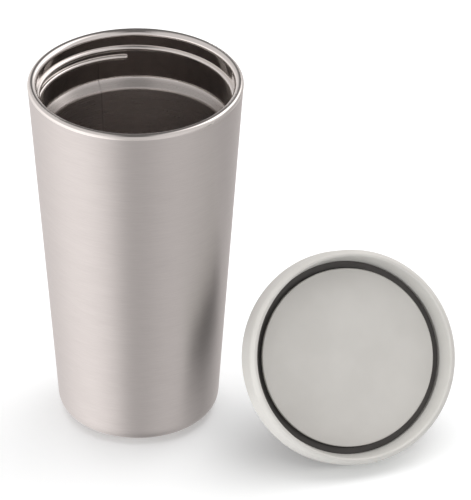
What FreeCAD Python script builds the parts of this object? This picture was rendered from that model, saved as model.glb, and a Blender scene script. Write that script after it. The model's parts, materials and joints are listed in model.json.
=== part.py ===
import FreeCAD, Part
import math
import os

# Insulated travel mug: a double-walled steel cup, and its screw lid, which is off and lies on its
# side on the table beside the cup.
# Millimetres. The origin is the centre of the cup's foot on the table, +Z is up the cup's axis.

# ---------------------------------------------------------------- driving dimensions, cup
CUP_HEIGHT = 152.0
RIM_R = 43.0  # outside radius of the drinking rim
TAPER = 0.071  # radius lost for each millimetre down the wall
SHEET = 0.6  # steel sheet of both walls
BASE_CORNER_R = 7.2
STEEL_FOOT_Z = 0.4  # the steel stands this far off the table, on the silicone pad
FOOT_OPENING_R = 22.8

LIP_DROP = 2.0  # the lip's rolled edge, from its crest down to the weld with the outer wall
LIP_OUTER_ROUND = 1.4
LIP_INNER_ROUND = 2.1
NECK_R = 39.3
NECK_DEPTH = 20.9
LEDGE_DEPTH = 24.6
WALL_GAP = 5.1  # from the outside of the cup to the inside of the liner, below the ledge
LINER_FLOOR_Z = 11.0
LINER_CORNER_R = 9.0
LEDGE_BEND_R = 1.6

THREAD_LEAD = 4.1  # right-handed, the same on the cup and on the lid
BEAD_R = 1.15
BEAD_CREST_R = 38.0
BEAD_END_AZIMUTH = 97.0
BEAD_END_DEPTH = 11.6
BEAD_ANGLE = 538.0

# ---------------------------------------------------------------- driving dimensions, lid
# s is the height along the lid's own axis, above the face that sits on the cup's rim.
SHELL_R = 43.2
SHELL_WALL = 4.3
SHELL_EDGE_ROUND = 0.5
CREST_S = 14.0
SHOULDER_ROUND = 3.8  # broad round from the outer wall up to the crest
CREST_ROUND = 0.8
CREST_FROM, CREST_TO = 50.0, 170.0  # angles where the crest's round starts and ends
CHANNEL_FLOOR_S = 1.6  # floor of the ring-shaped channel that is drunk from
FLANGE_R = 40.4
SEAM_FIT = 0.05  # clearance between pieces that are pressed or welded together
DISC_R = 35.95
DISC_TOP_S = 5.4
DISC_EDGE = 1.4
PRESS_TRAVEL = 3.0

PLUG_R = 36.9
PLUG_WALL = 2.0
PLUG_RIDGE_R = 36.2  # the plug's lower edge, which touches the table when the lid lies down
PLUG_RIDGE_S = -10.8
SEAT_S = -23.7
SEAT_OUTER_R = 24.6
SEAT_INNER_R = 21.0
LID_THREAD_CREST_R = 38.2
LID_THREAD_START_S = -7.4
LID_THREAD_ANGLE = 280.0

LID_X, LID_Y = 83.45, -23.2  # where the centre of the lid's seating face stands over the table
LID_AZIMUTH = 19.3  # the lid faces forward (-Y), turned this far towards +X

PARTS = {}


# ---------------------------------------------------------------- helpers
def point(radius, height):
    return FreeCAD.Vector(radius, 0, height)


def arc(centre, radius, start_deg, end_deg):
    """Arc in the XZ plane about centre (radius, height), with angles measured from +X towards +Z."""
    def at(angle):
        turn = math.radians(angle)
        return point(centre[0] + radius * math.cos(turn), centre[1] + radius * math.sin(turn))
    return Part.Arc(at(start_deg), at((start_deg + end_deg) / 2), at(end_deg)).toShape()


def arc_reversed(edge):
    """The same arc, run from its other end."""
    ends = [edge.valueAt(edge.FirstParameter), edge.valueAt(edge.LastParameter)]
    middle = edge.valueAt((edge.FirstParameter + edge.LastParameter) / 2)
    return Part.Arc(ends[1], middle, ends[0]).toShape()


def outline(*items):
    """Closed wire in the XZ plane, from (radius, height) points and arcs, joined by straight lines."""
    edges = []
    first = last = None
    for item in items:
        if isinstance(item, tuple):
            start = end = point(*item)
        else:
            start, end = item.valueAt(item.FirstParameter), item.valueAt(item.LastParameter)
        if last is not None and last.distanceToPoint(start) > 1e-6:
            edges.append(Part.makeLine(last, start))
        if not isinstance(item, tuple):
            edges.append(item)
        first = first or start
        last = end
    if last.distanceToPoint(first) > 1e-6:
        edges.append(Part.makeLine(last, first))
    return Part.Wire(edges)


def revolve(*items):
    face = Part.Face(outline(*items))
    return face.revolve(FreeCAD.Vector(0, 0, 0), FreeCAD.Vector(0, 0, 1), 360)


def ring(inner_r, outer_r, low, high):
    outer = Part.makeCylinder(outer_r, high - low, FreeCAD.Vector(0, 0, low))
    if inner_r <= 0:
        return outer
    return outer.cut(Part.makeCylinder(inner_r, high - low, FreeCAD.Vector(0, 0, low)))


def around(shape, count, start_deg=0.0):
    """Copies of a shape spaced evenly about the Z axis."""
    copies = []
    for index in range(count):
        copy = shape.copy()
        copy.rotate(FreeCAD.Vector(0, 0, 0), FreeCAD.Vector(0, 0, 1), start_deg + index * 360 / count)
        copies.append(copy)
    return copies


def helix_sweep(profile, radius, lead, angle_deg):
    """Right-handed sweep of a closed wire that stands in the XZ plane at the given radius."""
    helix = Part.makeHelix(lead, lead * angle_deg / 360, radius)
    return Part.Wire(helix).makePipeShell([profile], True, True)


def outer_radius(height):
    """Outside radius of the cup at a height above the table."""
    return RIM_R - TAPER * (CUP_HEIGHT - height)


# ---------------------------------------------------------------- cup
WALL_LEAN = math.atan(TAPER)
WELD_Z = CUP_HEIGHT - LIP_DROP
FOOT_RING_Z = STEEL_FOOT_Z + SHEET
PAN_R = 25.2
PORT_R = 0.9
DIMPLE_R = 6.0
DIMPLE_RISE = 1.2


def base_corner(inset):
    """Rounded corner between the tapering wall and the foot, inset by a sheet's thickness."""
    centre_z = STEEL_FOOT_Z + BASE_CORNER_R
    centre_r = outer_radius(centre_z) - BASE_CORNER_R / math.cos(WALL_LEAN)
    return arc((centre_r, centre_z), BASE_CORNER_R - inset, -math.degrees(WALL_LEAN), -90)


def make_outer_shell():
    def inner(height):
        return outer_radius(height) - SHEET
    return revolve((outer_radius(WELD_Z), WELD_Z), base_corner(0), (FOOT_OPENING_R, STEEL_FOOT_Z),
                   (FOOT_OPENING_R, FOOT_RING_Z), arc_reversed(base_corner(SHEET)), (inner(WELD_Z), WELD_Z))


def liner_radius(height):
    return outer_radius(height) - WALL_GAP


def liner_corner(inset):
    """Corner between the liner's wall and its floor; a negative inset is the liner's outside."""
    centre_z = LINER_FLOOR_Z + LINER_CORNER_R
    centre_r = liner_radius(centre_z) - LINER_CORNER_R / math.cos(WALL_LEAN)
    return arc((centre_r, centre_z), LINER_CORNER_R - inset, -math.degrees(WALL_LEAN), -90)


def make_inner_liner():
    neck_foot_z = CUP_HEIGHT - NECK_DEPTH
    ledge_z = CUP_HEIGHT - LEDGE_DEPTH
    outer_centre = (RIM_R - LIP_OUTER_ROUND, CUP_HEIGHT - LIP_OUTER_ROUND)
    inner_centre = (NECK_R + LIP_INNER_ROUND, CUP_HEIGHT - LIP_INNER_ROUND)
    lip_outer = arc(outer_centre, LIP_OUTER_ROUND, 0, 90)
    lip_inner = arc(inner_centre, LIP_INNER_ROUND, 90, 180)
    under_outer = arc(outer_centre, LIP_OUTER_ROUND - SHEET, 90, 0)
    under_inner = arc(inner_centre, LIP_INNER_ROUND - SHEET, 180, 90)
    inner_corner = liner_corner(0)
    outer_corner = arc_reversed(liner_corner(-SHEET))
    cup = revolve(
        (outer_radius(WELD_Z), WELD_Z), lip_outer, lip_inner, (NECK_R, neck_foot_z),
        (liner_radius(ledge_z), ledge_z), inner_corner, (0, LINER_FLOOR_Z),
        (0, LINER_FLOOR_Z - SHEET), outer_corner, (liner_radius(ledge_z) + SHEET, ledge_z - SHEET / 2),
        (NECK_R + SHEET, neck_foot_z - SHEET / 2), under_inner, under_outer,
        (outer_radius(WELD_Z) - SHEET, WELD_Z))
    return round_ledge(cup, neck_foot_z, ledge_z).fuse(make_thread_bead()).removeSplitter()


def round_ledge(cup, neck_foot_z, ledge_z):
    """Rounds the two bends of the ledge where the neck narrows to the liner's body."""
    bends = []
    for edge in cup.Edges:
        box = edge.BoundBox
        flat_at = [z for z in (neck_foot_z, ledge_z) if abs(box.ZMin - z) + abs(box.ZMax - z) < 1e-3]
        if flat_at and edge.Closed:
            bends.append(edge)
    return cup.makeFillet(LEDGE_BEND_R, bends)


def make_thread_bead():
    """The bead rolled into the neck, one and a half turns, with rounded ends."""
    radius = BEAD_CREST_R + BEAD_R
    low = CUP_HEIGHT - BEAD_END_DEPTH
    profile = Part.Wire(Part.makeCircle(BEAD_R, FreeCAD.Vector(radius, 0, 0), FreeCAD.Vector(0, 1, 0)))
    bead = helix_sweep(profile, radius, THREAD_LEAD, BEAD_ANGLE)
    for angle in (0.0, BEAD_ANGLE):
        turn = math.radians(angle)
        centre = FreeCAD.Vector(radius * math.cos(turn), radius * math.sin(turn), THREAD_LEAD * angle / 360)
        bead = bead.fuse(Part.makeSphere(BEAD_R, centre))
    bead.rotate(FreeCAD.Vector(0, 0, 0), FreeCAD.Vector(0, 0, 1), BEAD_END_AZIMUTH)
    bead.translate(FreeCAD.Vector(0, 0, low))
    return bead.common(ring(0, NECK_R + SHEET / 2, low - 5, CUP_HEIGHT))


def make_base_pan():
    """Bottom of the vacuum space, with a dimple and the port that the air is drawn out of."""
    low, high = FOOT_RING_Z, FOOT_RING_Z + SHEET
    slope = 0.9  # how far the dimple's side leans in over its rise
    under_r = DIMPLE_R - SHEET  # inside corner of the dimple, seen from below
    return revolve((PAN_R, low), (PAN_R, high), (DIMPLE_R + slope, high), (DIMPLE_R, high + DIMPLE_RISE),
                   (PORT_R, high + DIMPLE_RISE), (PORT_R, low + DIMPLE_RISE), (under_r, low + DIMPLE_RISE),
                   (under_r + slope, low))


def make_vacuum_seal():
    """Solder glass bead that closes the port, lying in the dimple."""
    top = FOOT_RING_Z + DIMPLE_RISE
    bead_r, face_r, thick, drawn_in = 3.2, 2.4, 0.9, 0.4
    return revolve((0, top - thick), (face_r, top - thick), (bead_r, top), (PORT_R, top),
                   (PORT_R, top + drawn_in), (0, top + drawn_in))


def make_getter():
    """Pellet that soaks up the last gas in the vacuum space."""
    pellet_r, thick, off_centre = 4.0, 1.6, 14.0
    pan_top = FOOT_RING_Z + SHEET
    pellet = ring(0, pellet_r, pan_top, pan_top + thick)
    pellet.translate(FreeCAD.Vector(off_centre, 0, 0))
    return pellet


def make_radiation_foil():
    """Foil wound on the liner, which keeps radiant heat in."""
    below_ledge, above_corner, foil, slack = 8.0, 3.0, 0.2, 0.05
    high = CUP_HEIGHT - LEDGE_DEPTH - below_ledge
    low = LINER_FLOOR_Z + LINER_CORNER_R + above_corner

    def inside(height):
        return liner_radius(height) + SHEET + slack

    return revolve((inside(high), high), (inside(low), low), (inside(low) + foil, low),
                   (inside(high) + foil, high))


def make_foot_pad():
    """Silicone pad that the mug stands on, set in the steel foot's opening."""
    bevel, play = 0.4, 0.2
    pad_r = FOOT_OPENING_R - play
    return revolve((0, 0), (pad_r - bevel, 0), (pad_r, bevel), (pad_r, FOOT_RING_Z), (0, FOOT_RING_Z))


# ---------------------------------------------------------------- lid, in its own frame
HUB_R, HUB_BORE_R = 10.5, 8.5
HUB_TOP_S, HUB_FLOOR_S = -2.0, -20.0
HUB_FLOOR = 1.5
ARM_WIDTH, ARM_TOP_S, ARM_BOTTOM_S = 3.0, -4.0, -8.0
CAM_TOP_S, CAM_BOTTOM_S = -3.0, -12.0
STEM_R, TAIL_R = 2.5, 1.5
BOSS_R, BOSS_BOTTOM_S = 5.0, -6.9
ROTOR_TOP_S, ROTOR_BOTTOM_S = -7.3, -10.0
STEM_TOP_S = 1.0
PLATE_TOP_S, PLATE_BOTTOM_S = -25.2, -27.0
PLATE_R = 22.5
SEAL_GROOVE_R, SEAL_GROOVE_DEPTH = 4.3, 1.0
VALVE_SEAL_R = 19.95  # inside of the ring that the valve closes with
RUN = 0.08  # running clearance of the pieces that slide or turn on the stem


def make_lid_shell():
    """Rim of the lid: a broad shoulder, a narrow crest, and an inner wall that leans outwards.

    A rebate under it takes the plug's flange.
    """
    inner_r = SHELL_R - SHELL_WALL
    start, end = math.radians(CREST_FROM), math.radians(CREST_TO)
    reach = SHOULDER_ROUND - CREST_ROUND
    crest_centre = (SHELL_R - SHOULDER_ROUND + reach * math.cos(start), CREST_S - CREST_ROUND)
    shoulder_centre = (SHELL_R - SHOULDER_ROUND, crest_centre[1] - reach * math.sin(start))
    shoulder = arc(shoulder_centre, SHOULDER_ROUND, 0, CREST_FROM)
    crest = arc(crest_centre, CREST_ROUND, CREST_FROM, CREST_TO)
    lean_r = crest_centre[0] + CREST_ROUND * math.cos(end)
    lean_s = crest_centre[1] + CREST_ROUND * math.sin(end)
    lean_foot_s = lean_s + (lean_r - inner_r) / math.tan(end - math.pi)
    edge = arc((SHELL_R - SHELL_EDGE_ROUND, SHELL_EDGE_ROUND), SHELL_EDGE_ROUND, -90, 0)
    rebate_r = FLANGE_R + SEAM_FIT
    return revolve((rebate_r, 0), edge, shoulder, crest, (inner_r, lean_foot_s),
                   (inner_r, CHANNEL_FLOOR_S), (rebate_r, CHANNEL_FLOOR_S))


def make_threaded_plug():
    """Ring flange, threaded sleeve and cone, in one moulding, down to the valve's seat."""
    disc_play = 0.45  # round the disc, so the flange doesn't catch it
    under_disc = DISC_TOP_S - DISC_EDGE - PRESS_TRAVEL
    sleeve_top = under_disc - 0.4  # the sleeve stops short of the pressed disc
    sleeve_foot = -8.0
    flange = ring(DISC_R + disc_play, FLANGE_R, 0, CHANNEL_FLOOR_S)
    inner_r = PLUG_R - PLUG_WALL
    outside = [(inner_r, sleeve_top), (PLUG_R, sleeve_top), (PLUG_R, sleeve_foot),
               (PLUG_RIDGE_R, PLUG_RIDGE_S), (26.2, -22.6)]
    seat = [(SEAT_OUTER_R, SEAT_S), (SEAT_INNER_R, SEAT_S), (SEAT_INNER_R, SEAT_S + 1.8)]
    inside = [(24.65, -21.34), (34.45, -9.34), (inner_r, sleeve_foot - 0.7)]
    body = revolve(*outside, *seat, *inside)
    return flange.fuse(body).fuse(make_lid_thread()).removeSplitter()


def make_lid_thread():
    root = PLUG_R - 0.3
    root_half, crest_half = 0.9, 0.4  # half the thread's width, along the axis
    profile = Part.makePolygon([point(root, -root_half), point(LID_THREAD_CREST_R, -crest_half),
                                point(LID_THREAD_CREST_R, crest_half), point(root, root_half),
                                point(root, -root_half)])
    thread = helix_sweep(profile, PLUG_R, THREAD_LEAD, LID_THREAD_ANGLE)
    thread.translate(FreeCAD.Vector(0, 0, LID_THREAD_START_S))
    return thread


def make_lid_gasket():
    """Silicone ring round the plug, under the flange, which seals in the cup's neck."""
    inner_r = PLUG_R + RUN
    top, bottom = -SEAM_FIT, -SEAM_FIT - 2.2
    upper_lip = [(NECK_R + 0.1, top), (NECK_R + 0.45, top - 0.5), (NECK_R + 0.1, top - 1.1)]
    lower_lip = [(NECK_R - 0.3, top - 1.3), (NECK_R + 0.2, top - 1.7), (NECK_R - 0.3, bottom)]
    return revolve((inner_r, top), *upper_lip, *lower_lip, (inner_r, bottom))


def make_guide_spider():
    """Hub tube on three arms inside the plug; the drink flows between the arms."""
    hub = ring(HUB_BORE_R, HUB_R, HUB_FLOOR_S, HUB_TOP_S)
    floor = ring(STEM_R + RUN, HUB_BORE_R, HUB_FLOOR_S, HUB_FLOOR_S + HUB_FLOOR)
    floor = floor.cut(ring(0, SEAL_GROOVE_R, HUB_FLOOR_S, HUB_FLOOR_S + SEAL_GROOVE_DEPTH))
    rim_wall, root = 1.4, 1.0  # root is how far an arm runs into the hub and the rim
    rim_r = PLUG_R - PLUG_WALL - SEAM_FIT
    rim = ring(rim_r - rim_wall, rim_r, ARM_BOTTOM_S, ARM_TOP_S)
    arm_start, arm_end = HUB_BORE_R + root, rim_r - root
    arm = Part.makeBox(arm_end - arm_start, ARM_WIDTH, ARM_TOP_S - ARM_BOTTOM_S,
                       FreeCAD.Vector(arm_start, -ARM_WIDTH / 2, ARM_BOTTOM_S))
    return hub.multiFuse([floor, rim] + around(arm, 3, 30)).removeSplitter()


def make_cam_sleeve():
    """Fixed sleeve of the press-press latch, with ribs that guide the rotor's stops."""
    bore_r, rib_depth, rib_width, rib_height, rib_root = 6.6, 0.6, 1.2, 5.0, 0.2
    sleeve = ring(bore_r, HUB_BORE_R - SEAM_FIT, CAM_BOTTOM_S, CAM_TOP_S)
    rib = Part.makeBox(rib_depth + rib_root, rib_width, rib_height,
                       FreeCAD.Vector(bore_r - rib_depth, -rib_width / 2, CAM_BOTTOM_S + 1.0))
    return sleeve.multiFuse(around(rib, 4)).removeSplitter()


def make_hub_cap():
    """Cap that closes the hub over the latch; the button's boss slides through it."""
    collar_height, spigot_bore_r = 1.1, 7.0
    collar = ring(BOSS_R + RUN, HUB_R, HUB_TOP_S, HUB_TOP_S + collar_height)
    spigot = ring(spigot_bore_r, HUB_BORE_R - SEAM_FIT, CAM_TOP_S, HUB_TOP_S)
    return collar.fuse(spigot).removeSplitter()


def make_stem_seal():
    """Silicone ring round the stem, in the groove under the hub's floor."""
    low, high = HUB_FLOOR_S + SEAM_FIT, HUB_FLOOR_S + SEAL_GROOVE_DEPTH
    return ring(STEM_R + RUN, SEAL_GROOVE_R - 0.02, low, high)


def make_return_spring():
    """Coil between the hub's floor and the rotor, which lifts the button.

    Each half turn is flat and tilted, and meets the next one square to the XZ plane.
    """
    wire_r, coil_r, half_turns, play = 0.4, 4.4, 9, 0.03
    low = HUB_FLOOR_S + HUB_FLOOR + wire_r + play
    high = ROTOR_BOTTOM_S - wire_r - play
    rise = (high - low) / half_turns
    section = Part.Face(Part.Wire(Part.makeCircle(wire_r, point(coil_r, low), FreeCAD.Vector(0, 1, 0))))
    half = section.revolve(point(0, low + rise / 2), FreeCAD.Vector(rise, 0, 2 * coil_r), 180)
    coil = []
    for index in range(half_turns):
        copy = half.copy()
        copy.rotate(FreeCAD.Vector(0, 0, 0), FreeCAD.Vector(0, 0, 1), 180 * index)
        copy.translate(FreeCAD.Vector(0, 0, rise * index))
        coil.append(copy)
    return coil[0].multiFuse(coil[1:])


def make_button_disc():
    """Round press button, flat on top, with a boss down the middle and ribs underneath."""
    edge_round = 0.35
    rib_end_r, rib_width, rib_depth, rib_root = 33.0, 1.2, 1.4, 1.0
    low = DISC_TOP_S - DISC_EDGE
    edge = arc((DISC_R - edge_round, DISC_TOP_S - edge_round), edge_round, 0, 90)
    plate = revolve((0, low), (DISC_R, low), edge, (0, DISC_TOP_S))
    boss = ring(STEM_R, BOSS_R, BOSS_BOTTOM_S, low)
    crown = ring(0, STEM_R, STEM_TOP_S, low)
    rib_start = BOSS_R - rib_root
    rib = Part.makeBox(rib_end_r - BOSS_R, rib_width, rib_depth,
                       FreeCAD.Vector(rib_start, -rib_width / 2, low - rib_depth))
    return plate.multiFuse([boss, crown] + around(rib, 6)).removeSplitter()


def make_stem():
    """Steel rod from the button to the valve, with a thinner threaded tail."""
    tail_length = 4.6
    rod = ring(0, STEM_R, PLATE_TOP_S, STEM_TOP_S)
    tail = ring(0, TAIL_R, PLATE_TOP_S - tail_length, PLATE_TOP_S)
    return rod.fuse(tail).removeSplitter()


def make_valve_plate():
    """Plate that closes the bottom of the plug, dished a little, with a hub for the stem's tail."""
    hole = TAIL_R + SEAM_FIT
    fence_outer = VALVE_SEAL_R - SEAM_FIT  # low ring that holds the seal in place
    fence_inner, fence_height, bevel = fence_outer - SHEET, 1.0, 1.0
    middle_s = (PLATE_TOP_S + PLATE_BOTTOM_S) / 2
    fence_top = PLATE_TOP_S + fence_height
    fence = [(fence_inner, PLATE_TOP_S), (fence_inner, fence_top), (fence_outer, fence_top),
             (fence_outer, PLATE_TOP_S)]
    rim = [(PLATE_R, PLATE_TOP_S), (PLATE_R, middle_s), (PLATE_R - bevel, PLATE_BOTTOM_S)]
    return revolve((hole, PLATE_TOP_S), *fence, *rim, (hole, PLATE_BOTTOM_S))


def make_valve_seal():
    """Silicone ring on the plate, which presses up against the plug's seat."""
    top = SEAT_S - SEAM_FIT
    ring_r, bulge = 23.2, 0.4
    return revolve((VALVE_SEAL_R, PLATE_TOP_S), (VALVE_SEAL_R, top), (ring_r, top),
                   (ring_r + bulge, top - bulge), (ring_r, PLATE_TOP_S))


def make_valve_nut():
    """Hexagon nut under the valve plate, on the stem's tail."""
    across_flats, height, bore_play = 5.5, 2.4, 0.02
    across_corners = across_flats / math.cos(math.radians(30))
    corners = [FreeCAD.Vector(across_corners / 2 * math.cos(math.radians(60 * k)),
                              across_corners / 2 * math.sin(math.radians(60 * k)), PLATE_BOTTOM_S)
               for k in range(7)]
    nut = Part.Face(Part.makePolygon(corners)).extrude(FreeCAD.Vector(0, 0, -height))
    return nut.cut(ring(0, TAIL_R + bore_play, PLATE_BOTTOM_S - height, PLATE_BOTTOM_S))


def make_cam_rotor():
    """Rotor of the press-press latch, free to turn on the stem, with ramps round its top."""
    rotor_r, notch_start_r, notch_width, notch_depth = 5.6, 3.4, 1.0, 0.8
    rotor = ring(STEM_R + RUN, rotor_r, ROTOR_BOTTOM_S, ROTOR_TOP_S)
    notch = Part.makeBox(rotor_r, notch_width, 2 * notch_depth,
                         FreeCAD.Vector(notch_start_r, -notch_width / 2, ROTOR_TOP_S - notch_depth))
    return rotor.cut(Part.makeCompound(around(notch, 8, 22.5)))


def lid_placement():
    """Lays the lid on its side: its shell's lower edge and its plug's ridge both touch the table."""
    edge_r = SHELL_R - SHELL_EDGE_ROUND
    across = edge_r - PLUG_RIDGE_R
    along = SHELL_EDGE_ROUND - PLUG_RIDGE_S
    tilt = math.atan2(across, along) + math.asin(SHELL_EDGE_ROUND / math.hypot(across, along))
    turn = math.radians(LID_AZIMUTH)
    level = math.cos(tilt)
    normal = FreeCAD.Vector(math.sin(turn) * level, -math.cos(turn) * level, math.sin(tilt))
    side = FreeCAD.Vector(math.cos(turn), math.sin(turn), 0)
    up = normal.cross(side)
    height = edge_r * math.cos(tilt) - SHELL_EDGE_ROUND * math.sin(tilt) + SHELL_EDGE_ROUND
    origin = FreeCAD.Vector(LID_X, LID_Y, height)
    print("lid origin", tuple(round(v, 4) for v in origin), "axis", tuple(round(v, 6) for v in normal),
          "tilt", round(math.degrees(tilt), 3))
    matrix = FreeCAD.Matrix(side.x, up.x, normal.x, origin.x,
                            side.y, up.y, normal.y, origin.y,
                            side.z, up.z, normal.z, origin.z,
                            0, 0, 0, 1)
    return FreeCAD.Placement(matrix)


# ---------------------------------------------------------------- assembly
CUP_PIECES = {
    "outer_shell": make_outer_shell,
    "inner_liner": make_inner_liner,
    "base_pan": make_base_pan,
    "vacuum_seal": make_vacuum_seal,
    "getter": make_getter,
    "radiation_foil": make_radiation_foil,
    "foot_pad": make_foot_pad,
}

LID_PIECES = {
    "lid_gasket": make_lid_gasket,
    "lid_shell": make_lid_shell,
    "threaded_plug": make_threaded_plug,
    "guide_spider": make_guide_spider,
    "cam_sleeve": make_cam_sleeve,
    "hub_cap": make_hub_cap,
    "stem_seal": make_stem_seal,
    "return_spring": make_return_spring,
    "button_disc": make_button_disc,
    "stem": make_stem,
    "valve_plate": make_valve_plate,
    "valve_seal": make_valve_seal,
    "valve_nut": make_valve_nut,
    "cam_rotor": make_cam_rotor,
}


def main():
    os.makedirs("parts", exist_ok=True)
    for name, make in CUP_PIECES.items():
        PARTS[name] = make()
    lying = lid_placement()
    for name, make in LID_PIECES.items():
        piece = make()
        piece.Placement = lying.multiply(piece.Placement)
        PARTS[name] = piece
    for name, shape in PARTS.items():
        if len(shape.Solids) == 1 and shape.ShapeType != "Solid":
            shape = shape.Solids[0]
        box = shape.BoundBox
        print(f"{name:16s} {shape.ShapeType} solids {len(shape.Solids)} valid {shape.isValid()} "
              f"volume {shape.Volume:10.1f} z {box.ZMin:8.3f} {box.ZMax:8.3f}")
        shape.exportStep(f"parts/{name}.step")


main()
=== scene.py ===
import json
import math
import bpy
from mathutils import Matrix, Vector


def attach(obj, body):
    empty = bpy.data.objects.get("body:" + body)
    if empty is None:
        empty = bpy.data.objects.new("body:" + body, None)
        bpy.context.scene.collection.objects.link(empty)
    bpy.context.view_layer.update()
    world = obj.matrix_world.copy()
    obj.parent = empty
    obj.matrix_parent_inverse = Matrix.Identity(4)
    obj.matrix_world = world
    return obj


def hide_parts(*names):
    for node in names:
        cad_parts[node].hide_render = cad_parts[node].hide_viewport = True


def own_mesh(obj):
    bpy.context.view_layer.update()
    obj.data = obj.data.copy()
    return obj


# Insulated travel mug in brushed steel, with its grey plastic lid lying beside it.
# Metres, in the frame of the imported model: the cup stands on its foot at the origin, +Z is up.

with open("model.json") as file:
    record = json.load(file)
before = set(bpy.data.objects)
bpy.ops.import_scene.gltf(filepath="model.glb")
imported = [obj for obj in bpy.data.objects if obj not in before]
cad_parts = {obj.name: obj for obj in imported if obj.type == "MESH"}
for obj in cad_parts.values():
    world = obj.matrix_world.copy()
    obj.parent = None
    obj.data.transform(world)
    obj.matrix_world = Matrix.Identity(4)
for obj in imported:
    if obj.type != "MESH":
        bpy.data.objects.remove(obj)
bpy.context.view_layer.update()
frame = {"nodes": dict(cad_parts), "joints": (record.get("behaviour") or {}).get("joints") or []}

nodes = frame["nodes"]
MM = 0.001


# ---------------------------------------------------------------- camera
CAMERA_PITCH = math.radians(32.0)  # looking down, along +Y
CAMERA_DISTANCE = 2.4181
CAMERA_RIGHT = 0.03962
CAMERA_UP = -0.0017
AIM_HEIGHT = 0.075
LENS_MM = 432.0
SENSOR_MM = 36.0


def make_camera():
    data = bpy.data.cameras.new("camera")
    data.lens = LENS_MM
    data.sensor_width = SENSOR_MM
    camera = bpy.data.objects.new("camera", data)
    bpy.context.collection.objects.link(camera)
    back = Vector((0, -math.cos(CAMERA_PITCH), math.sin(CAMERA_PITCH)))
    up = Vector((0, math.sin(CAMERA_PITCH), math.cos(CAMERA_PITCH)))
    right = Vector((1, 0, 0))
    aim = Vector((0, 0, AIM_HEIGHT))
    camera.location = aim + back * CAMERA_DISTANCE + right * CAMERA_RIGHT + up * CAMERA_UP
    camera.rotation_euler = (math.radians(90) - CAMERA_PITCH, 0, 0)
    bpy.context.scene.camera = camera


# ---------------------------------------------------------------- shader helpers
class Shader:
    """A node material, built one node at a time."""

    def __init__(self, name):
        self.material = bpy.data.materials.new(name)
        self.material.use_nodes = True
        self.tree = self.material.node_tree
        self.bsdf = self.tree.nodes["Principled BSDF"]

    def node(self, kind, **settings):
        made = self.tree.nodes.new(kind)
        for key, value in settings.items():
            setattr(made, key, value)
        return made

    def link(self, source, target):
        self.tree.links.new(source, target)

    def feed(self, socket, value):
        """Puts a number or another node's output on an input socket."""
        if isinstance(value, bpy.types.NodeSocket):
            self.link(value, socket)
        else:
            socket.default_value = value

    def math(self, operation, a, b=0.0):
        made = self.node("ShaderNodeMath", operation=operation)
        self.feed(made.inputs[0], a)
        self.feed(made.inputs[1], b)
        return made.outputs[0]

    def position(self):
        return self.node("ShaderNodeTexCoord").outputs["Object"]

    def split(self, vector):
        made = self.node("ShaderNodeSeparateXYZ")
        self.link(vector, made.inputs[0])
        return made.outputs

    def join(self, x, y, z):
        made = self.node("ShaderNodeCombineXYZ")
        for socket, value in zip(made.inputs, (x, y, z)):
            self.feed(socket, value)
        return made.outputs[0]

    def noise(self, vector, scale, detail=2.0, roughness=0.5):
        made = self.node("ShaderNodeTexNoise")
        self.link(vector, made.inputs["Vector"])
        made.inputs["Scale"].default_value = scale
        made.inputs["Detail"].default_value = detail
        made.inputs["Roughness"].default_value = roughness
        return made.outputs["Fac"]

    def length(self, x, y):
        squares = [self.math("MULTIPLY", part, part) for part in (x, y)]
        return self.math("POWER", self.math("ADD", *squares), 0.5)

    def spread(self, value, low, high, to_low, to_high):
        """Maps a value from one range to another, clamped at both ends."""
        made = self.node("ShaderNodeMapRange")
        for socket, setting in zip(made.inputs, (value, low, high, to_low, to_high)):
            self.feed(socket, setting)
        return made.outputs[0]

    def blend(self, factor, first, second):
        made = self.node("ShaderNodeMix", data_type="RGBA")
        self.feed(made.inputs["Factor"], factor)
        self.feed(made.inputs["A"], first)
        self.feed(made.inputs["B"], second)
        return made.outputs["Result"]

    def bump(self, height, distance, strength=1.0):
        made = self.node("ShaderNodeBump")
        self.link(height, made.inputs["Height"])
        made.inputs["Distance"].default_value = distance
        made.inputs["Strength"].default_value = strength
        self.link(made.outputs[0], self.bsdf.inputs["Normal"])

    def set(self, **values):
        for key, value in values.items():
            self.feed(self.bsdf.inputs[key.replace("_", " ")], value)


def grey(value, warmth=0.0):
    """An RGBA grey, with red raised and blue lowered by the warmth."""
    return (value * (1 + warmth), value, value * (1 - warmth), 1.0)


# ---------------------------------------------------------------- materials
NECK_FOOT = 131.1 * MM  # height where the polished neck ends and the ledge begins
LEDGE_FOOT = 127.4 * MM
NECK_R = 39.3 * MM
LINER_R = 37 * MM
SEAM_TOP, SEAM_FADE = 142 * MM, 6 * MM
SEAM_ANGLE = math.radians(113.5)  # the weld seam down the inside of the liner
SEAM_HALF_WIDTH = 0.35 * MM / LINER_R  # radians
BELT_TONES = (0.585, 0.56, 0.55, 1), (0.645, 0.62, 0.607, 1)
LINER_TONES = (0.69, 0.662, 0.65, 1), (0.71, 0.682, 0.67, 1)
NECK_TONE = (0.76, 0.735, 0.715, 1)
LEDGE_TONE = (0.38, 0.362, 0.35, 1)
SEAM_TONE = (0.22, 0.2, 0.19, 1)
SHELL_TONES = (0.54, 0.537, 0.513, 1), (0.57, 0.567, 0.543, 1)
# painted shade: the plug is coloured near black to stand in for the shade deep in the narrow channel round
# the disc
PLUG_SHADE_TONES = grey(0.09, 0.04), grey(0.11, 0.04)
LATCH_TONES = grey(0.74, 0.01), grey(0.78, 0.01)


def brush_lines(shader, lines_per_mm, stretch):
    """Noise drawn out along circles round the Z axis, as a brushing belt leaves it."""
    x, y, z = shader.split(shader.position())
    angle = shader.math("ARCTAN2", y, x)
    along = shader.math("MULTIPLY", angle, stretch)
    across = shader.math("MULTIPLY", z, lines_per_mm / MM)
    outward = shader.math("MULTIPLY", shader.length(x, y), lines_per_mm / MM)
    return shader.noise(shader.join(along, outward, across), 1.0, detail=3.0, roughness=0.6)


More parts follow.
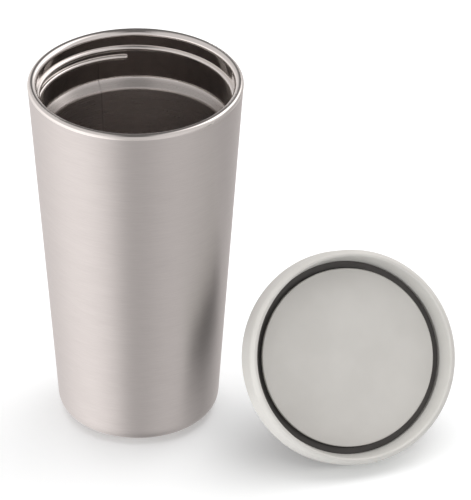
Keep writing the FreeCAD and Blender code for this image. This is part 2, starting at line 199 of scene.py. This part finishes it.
def round_tangent(shader):
    made = shader.node("ShaderNodeTangent", direction_type="RADIAL", axis="Z")
    shader.link(made.outputs[0], shader.bsdf.inputs["Tangent"])


def brushed_steel():
    shader = Shader("brushed_steel_look")
    fine = brush_lines(shader, 6.0, 5.0)
    coarse = brush_lines(shader, 0.35, 2.0)
    tone = shader.blend(shader.spread(fine, 0.3, 0.7, 0.0, 1.0), *BELT_TONES)
    shader.set(Base_Color=tone, Metallic=1.0,
               Roughness=shader.spread(coarse, 0.3, 0.7, 0.38, 0.42))
    shader.bsdf.inputs["Anisotropic"].default_value = 0.85
    shader.bsdf.inputs["Anisotropic Rotation"].default_value = 0.25
    round_tangent(shader)
    shader.bump(fine, 0.003 * MM)
    return shader.material


def liner_steel():
    """Satin inside the cup, a duller ledge, a polished neck with a rougher bead, and the weld seam."""
    shader = Shader("liner_steel_look")
    fine = brush_lines(shader, 4.0, 3.0)
    x, y, z = shader.split(shader.position())
    neck = shader.spread(z, NECK_FOOT - 1.5 * MM, NECK_FOOT + 0.5 * MM, 0.0, 1.0)
    above_ledge_foot = shader.spread(z, LEDGE_FOOT - 0.6 * MM, LEDGE_FOOT + 0.6 * MM, 0.0, 1.0)
    ledge = shader.math("MULTIPLY", above_ledge_foot, shader.math("SUBTRACT", 1.0, neck))
    inside_neck_wall = shader.spread(shader.length(x, y), NECK_R - 0.4 * MM, NECK_R - 0.05 * MM, 1.0, 0.0)
    bead = shader.math("MULTIPLY", neck, inside_neck_wall)
    off_seam = shader.math("ABSOLUTE", shader.math("SUBTRACT", shader.math("ARCTAN2", y, x), SEAM_ANGLE))
    seam = shader.spread(off_seam, SEAM_HALF_WIDTH * 0.6, SEAM_HALF_WIDTH, 1.0, 0.0)
    seam = shader.math("MULTIPLY", seam, shader.spread(z, SEAM_TOP - SEAM_FADE, SEAM_TOP, 1.0, 0.0))

    tone = shader.blend(shader.spread(fine, 0.3, 0.7, 0.0, 1.0), *LINER_TONES)
    tone = shader.blend(neck, tone, NECK_TONE)
    tone = shader.blend(shader.math("MULTIPLY", ledge, 0.9), tone, LEDGE_TONE)
    tone = shader.blend(shader.math("MULTIPLY", seam, 0.3), tone, SEAM_TONE)

    rough = shader.spread(fine, 0.3, 0.7, 0.27, 0.285)
    rough = shader.math("SUBTRACT", rough, shader.math("MULTIPLY", neck, 0.19))
    rough = shader.math("ADD", rough, shader.math("MULTIPLY", bead, 0.13))
    rough = shader.math("ADD", rough, shader.math("MULTIPLY", seam, 0.1))
    shader.set(Base_Color=tone, Metallic=1.0, Roughness=rough)
    shader.bump(shader.math("ADD", fine, shader.math("MULTIPLY", seam, 8.0)), 0.0004 * MM)
    return shader.material


def moulded_plastic(name, low, high, rough, grain):
    """Matt moulded plastic: two close tones and a fine spark-eroded grain, its depth in millimetres."""
    shader = Shader(name)
    place = shader.position()
    cloud = shader.noise(place, 60.0, 3.0)
    pebble = shader.noise(place, 2600.0, 2.0)
    shader.set(Base_Color=shader.blend(shader.spread(cloud, 0.35, 0.65, 0.0, 1.0), low, high),
               Roughness=shader.spread(pebble, 0.3, 0.7, rough - 0.04, rough + 0.04))
    shader.bump(pebble, grain * MM)
    return shader.material


def silicone(name, tone):
    """A soft matt skin, used for the rubber pieces and the drop of solder glass."""
    shader = Shader(name)
    place = shader.position()
    cloud = shader.noise(place, 90.0, 3.0)
    shader.set(Base_Color=shader.blend(cloud, grey(tone * 0.9, 0.02), grey(tone * 1.1, 0.02)),
               Roughness=shader.spread(cloud, 0.3, 0.7, 0.5, 0.62))
    shader.bump(shader.noise(place, 1500.0), 0.01 * MM)
    return shader.material


def turned_metal(name, tone, rough):
    shader = Shader(name)
    fine = shader.noise(shader.position(), 1800.0, 2.0)
    dark = tuple(part * 0.92 for part in tone) + (1,)
    shader.set(Base_Color=shader.blend(fine, dark, tone + (1,)), Metallic=1.0,
               Roughness=shader.spread(fine, 0.3, 0.7, rough - 0.05, rough + 0.05))
    return shader.material


def dress_cad_nodes():
    looks = {
        "brushed_steel": brushed_steel(),
        "polished_steel": liner_steel(),
        "lid_plastic": moulded_plastic("lid_plastic_look", *SHELL_TONES, 0.42, 0.006),
        # the plug's near-black tones are painted shade for the channel round the disc
        "plug_plastic": moulded_plastic("plug_painted_shade_look", *PLUG_SHADE_TONES, 0.42, 0.003),
        "latch_plastic": moulded_plastic("latch_plastic_look", *LATCH_TONES, 0.3, 0.002),
        "seal_silicone": silicone("seal_silicone_look", 0.4),
        "pad_silicone": silicone("pad_silicone_look", 0.05),
        "solder_glass": silicone("solder_glass_look", 0.12),
        "getter_alloy": turned_metal("getter_alloy_look", (0.3, 0.3, 0.3), 0.6),
        "copper_foil": turned_metal("copper_foil_look", (0.85, 0.5, 0.35), 0.25),
        "spring_steel": turned_metal("spring_steel_look", (0.6, 0.6, 0.6), 0.25),
        "stem_steel": turned_metal("stem_steel_look", (0.58, 0.57, 0.56), 0.3),
    }
    for node in nodes.values():
        for slot in node.material_slots:
            slot.material = looks[slot.material.name]


# ---------------------------------------------------------------- return spring
SPRING_TURNS = 6.5
SPRING_DEAD_TURNS = 0.75  # closed turns at each end
SPRING_STEPS = 40  # sections in each turn
WIRE_SIDES = 12


def make_spring():
    """The coil under the button, as a round wire in place of the CAD spring, carried with the lid."""
    turning = next(joint for joint in frame["joints"] if joint["name"] == "lid_turn")
    centre, axis = Vector(turning["pos_m"]), Vector(turning["axis"]).normalized()
    cad = nodes["return_spring"]
    places = [vertex.co - centre for vertex in cad.data.vertices]
    heights = [place.dot(axis) for place in places]
    low, high = min(heights), max(heights)
    off_axis = [(place - axis * height).length for place, height in zip(places, heights)]
    wire_r = (max(off_axis) - min(off_axis)) / 2
    coil_r = (max(off_axis) + min(off_axis)) / 2
    side = axis.orthogonal().normalized()
    across = axis.cross(side)
    open_turns = SPRING_TURNS - 2 * SPRING_DEAD_TURNS
    lift = high - low - 4 * wire_r * (1 + SPRING_DEAD_TURNS)

    def height_at(turn):
        """Height of the wire's centre: a wire's width a turn at the closed ends, evenly spread between."""
        opened = min(max(turn - SPRING_DEAD_TURNS, 0), open_turns)
        closed = turn - opened
        return low + wire_r + 2 * wire_r * closed + (lift + 2 * wire_r) * opened / open_turns

    points = []
    count = round(SPRING_TURNS * SPRING_STEPS)
    for step in range(count + 1):
        turn = step / SPRING_STEPS
        outward = side * math.cos(2 * math.pi * turn) + across * math.sin(2 * math.pi * turn)
        middle = centre + outward * coil_r + axis * height_at(turn)
        for corner in range(WIRE_SIDES):
            around = 2 * math.pi * corner / WIRE_SIDES
            points.append(middle + outward * (wire_r * math.cos(around)) + axis * (wire_r * math.sin(around)))
    faces = []
    for step in range(count):
        for corner in range(WIRE_SIDES):
            first = step * WIRE_SIDES + corner
            second = step * WIRE_SIDES + (corner + 1) % WIRE_SIDES
            faces.append((first, first + WIRE_SIDES, second + WIRE_SIDES, second))
    faces.append(tuple(range(WIRE_SIDES)))
    faces.append(tuple(reversed(range(count * WIRE_SIDES, (count + 1) * WIRE_SIDES))))
    mesh = bpy.data.meshes.new("spring_coil")
    mesh.from_pydata(points, [], faces)
    mesh.polygons.foreach_set("use_smooth", [len(face) == 4 for face in faces])
    spring = bpy.data.objects.new("spring_coil", mesh)
    bpy.context.collection.objects.link(spring)
    spring.data.materials.append(cad.material_slots[0].material)
    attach(spring, "lid")
    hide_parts("return_spring")
    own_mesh(spring)


# ---------------------------------------------------------------- studio
FLOOR_SIZE = 12.0

# Brightness of the studio seen from the cup, by compass angle: 0 is the camera's side, + is to the right.
STUDIO_BAND = (
    (-180, 0.80), (-155, 0.92), (-124, 1.10), (-100, 1.32), (-85, 1.42), (-71, 1.45), (-58, 1.44),
    (-46, 1.32), (-35, 1.20), (-24, 0.96), (-13, 0.74), (-3, 0.68), (8, 0.69), (20, 0.74), (35, 0.81),
    (52, 0.83), (65, 0.78), (78, 0.72), (92, 0.62), (106, 0.54), (118, 0.53), (130, 0.54), (155, 0.72),
    (180, 0.80))
STUDIO_TINT = (1.0, 0.952, 0.938)
CEILING, CEILING_PATCH = 0.75, 1.9  # brightness overhead, and of a bright card behind on the right
# The spans below are parts of the unit vector that points from the cup to a place in the studio.
CEILING_SPAN = (0.15, 0.5)
PATCH_X, PATCH_Y = (0.15, 0.5), (-0.1, 0.2)  # where the card's light starts and is full
FLAG_DARK = 0.22  # a dark strip runs from behind the cup to overhead, out of sight of the camera
FLAG_SIDE = (0.08, 0.30)  # its edges fade out between these, to the left and the right
FLAG_FRONT = (-0.8, -0.45)
FLAG_FOOT = (0.02, 0.12)
NADIR_DARK = 0.35  # the studio is darker straight below, under the foot
NADIR = (-0.99, -0.86)
FLOOR_GLOW = 0.15
LIGHT_AIM = Vector((0.04, 0, 0.05))


def make_floor():
    bpy.ops.mesh.primitive_plane_add(size=FLOOR_SIZE)
    floor = bpy.context.active_object
    floor.name = "floor"
    shader = Shader("floor_look")
    shader.set(Base_Color=(0.895, 0.925, 0.935, 1), Roughness=0.9)
    shader.bsdf.inputs["Emission Color"].default_value = (1, 1, 1, 1)
    shader.bsdf.inputs["Emission Strength"].default_value = FLOOR_GLOW
    shader.bsdf.inputs["Specular IOR Level"].default_value = 0.0
    floor.data.materials.append(shader.material)
    floor.visible_glossy = False


class World(Shader):
    """The studio's surroundings, built with the same node helpers as a material."""

    def __init__(self, name):
        self.world = bpy.data.worlds.new(name)
        self.world.use_nodes = True
        self.tree = self.world.node_tree
        self.background = self.tree.nodes["Background"]


def make_world():
    studio = World("studio")
    bpy.context.scene.world = studio.world
    direction = studio.node("ShaderNodeTexCoord").outputs["Generated"]
    x, y, z = studio.split(direction)
    turn = studio.math("ARCTAN2", x, studio.math("MULTIPLY", y, -1.0))
    ramp = studio.node("ShaderNodeValToRGB")
    studio.link(studio.spread(turn, -math.pi, math.pi, 0.0, 1.0), ramp.inputs["Fac"])
    brightest = max(level for _, level in STUDIO_BAND)
    stops = ramp.color_ramp.elements
    stops.remove(stops[-1])
    for index, (angle, level) in enumerate(STUDIO_BAND):
        place = (angle + 180) / 360
        stop = stops[0] if index == 0 else stops.new(place)
        stop.position = place
        stop.color = (level / brightest,) * 3 + (1.0,)
    band = studio.math("MULTIPLY", ramp.outputs["Color"], brightest)
    overhead = studio.spread(z, *CEILING_SPAN, 0.0, 1.0)
    across, back = studio.spread(x, *PATCH_X, 0.0, 1.0), studio.spread(y, *PATCH_Y, 0.0, 1.0)
    ceiling = studio.spread(studio.math("MULTIPLY", across, back), 0.0, 1.0, CEILING, CEILING_PATCH)
    level = studio.math("ADD", studio.math("MULTIPLY", band, studio.math("SUBTRACT", 1.0, overhead)),
                        studio.math("MULTIPLY", overhead, ceiling))
    beside = studio.spread(studio.math("ABSOLUTE", x), *FLAG_SIDE, 0.0, 1.0)
    in_front = studio.spread(y, *FLAG_FRONT, 1.0, 0.0)
    under = studio.spread(z, *FLAG_FOOT, 1.0, 0.0)
    clear = studio.math("MAXIMUM", beside, studio.math("MAXIMUM", in_front, under))
    level = studio.math("MULTIPLY", level, studio.spread(clear, 0.0, 1.0, FLAG_DARK, 1.0))
    level = studio.math("MULTIPLY", level, studio.spread(z, *NADIR, NADIR_DARK, 1.0))
    tint = studio.join(*(studio.math("MULTIPLY", level, part) for part in STUDIO_TINT))
    studio.link(tint, studio.background.inputs["Color"])


def softbox(name, place, side, power):
    data = bpy.data.lights.new(name, "AREA")
    data.shape = "SQUARE"
    data.size = side
    data.energy = power
    lamp = bpy.data.objects.new(name, data)
    bpy.context.collection.objects.link(lamp)
    lamp.location = place
    lamp.rotation_euler = (lamp.location - LIGHT_AIM).to_track_quat("Z", "Y").to_euler()
    lamp.visible_glossy = False
    return lamp


def make_lights():
    """A large light overhead, and one on the left that lights the mug but not the floor."""
    softbox("top_light", (0.05, 0.3, 1.4), 1.5, 12.6)
    left = softbox("left_light", (-1.35, -0.6, 0.5), 0.8, 13.0)
    lit = bpy.data.collections.new("lit_from_left")
    for node in nodes.values():
        lit.objects.link(node)
    left.light_linking.receiver_collection = lit


# ---------------------------------------------------------------- the whole picture
make_camera()
make_floor()
make_world()
make_lights()
bpy.context.scene.view_settings.view_transform = "Standard"
bpy.context.scene.cycles.glossy_bounces = 12
bpy.context.scene.cycles.max_bounces = 16
dress_cad_nodes()
make_spring()
